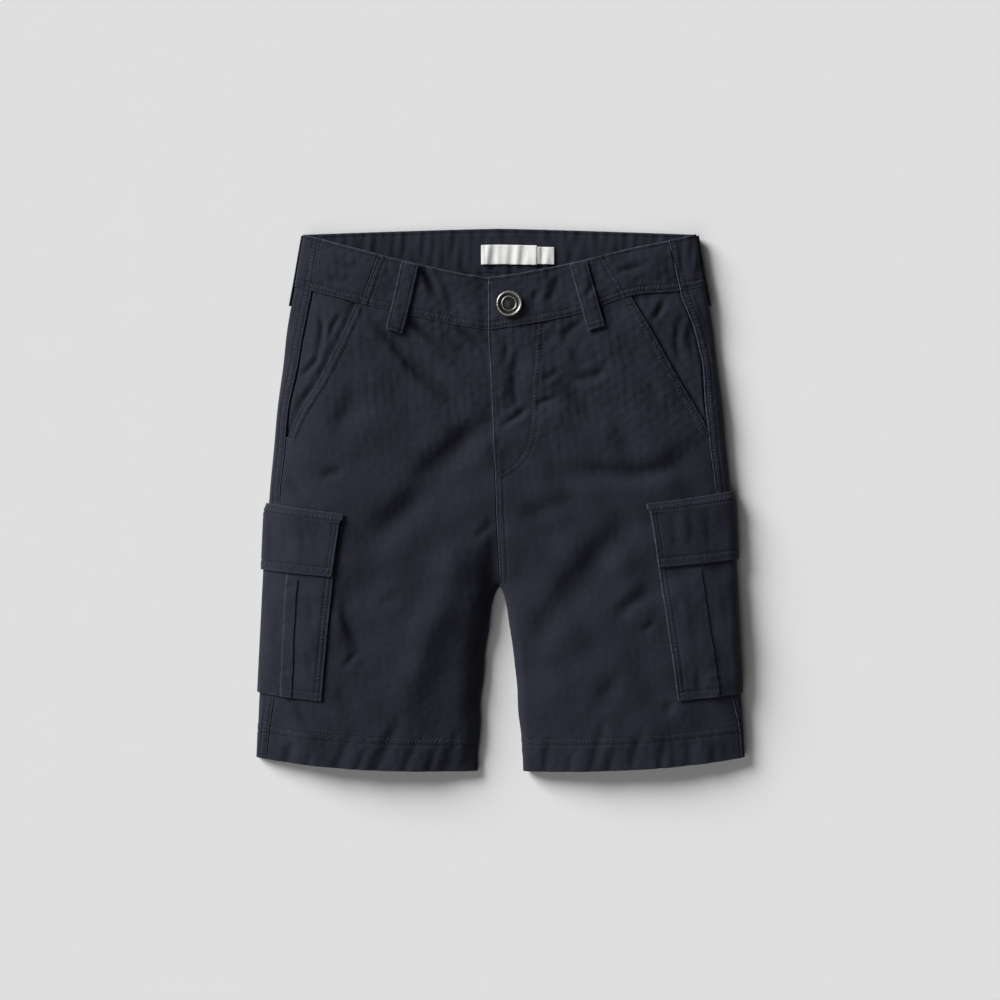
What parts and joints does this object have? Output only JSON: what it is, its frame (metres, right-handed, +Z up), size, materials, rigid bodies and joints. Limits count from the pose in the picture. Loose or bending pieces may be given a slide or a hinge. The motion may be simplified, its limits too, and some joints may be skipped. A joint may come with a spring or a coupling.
{
  "type": "cargo shorts",
  "caption": "Child's knee-length cargo shorts in dark navy twill, laid flat front up, with a buttoned waistband, belt loops, slanted front pockets and flapped side pockets.",
  "frame": {"origin": "on the surface that the shorts lie on, under the middle of their outline", "axes": "+X to the wearer's left leg, which is the right of a front view; +Y to the waist; +Z up, out of the front"},
  "size_m": [0.3745, 0.4163, 0.0274],
  "materials": {
    "navy_twill": "matte cotton twill, washed dark navy",
    "label_cloth": "matte white woven ribbon",
    "dark_metal": "dark antique metal, worn brighter on its rims"
  },
  "bodies": {
    "root": {"front_right": "navy_twill", "front_left": "navy_twill", "back_right": "navy_twill", "back_left": "navy_twill", "pocket_facing_right": "navy_twill", "pocket_facing_left": "navy_twill", "waistband_front_right": "navy_twill", "waistband_front_left": "navy_twill", "waistband_side_right": "navy_twill", "waistband_side_left": "navy_twill", "waistband_back": "navy_twill", "cargo_pocket_right": "navy_twill", "cargo_pocket_left": "navy_twill", "cargo_flap_right": "navy_twill", "cargo_flap_left": "navy_twill", "belt_loop_front_right": "navy_twill", "belt_loop_front_left": "navy_twill", "belt_loop_side_right": "navy_twill", "belt_loop_side_left": "navy_twill", "belt_loop_back": "navy_twill", "waist_label": "label_cloth", "size_tag": "label_cloth", "button": "dark_metal"}
  },
  "joints": []
}
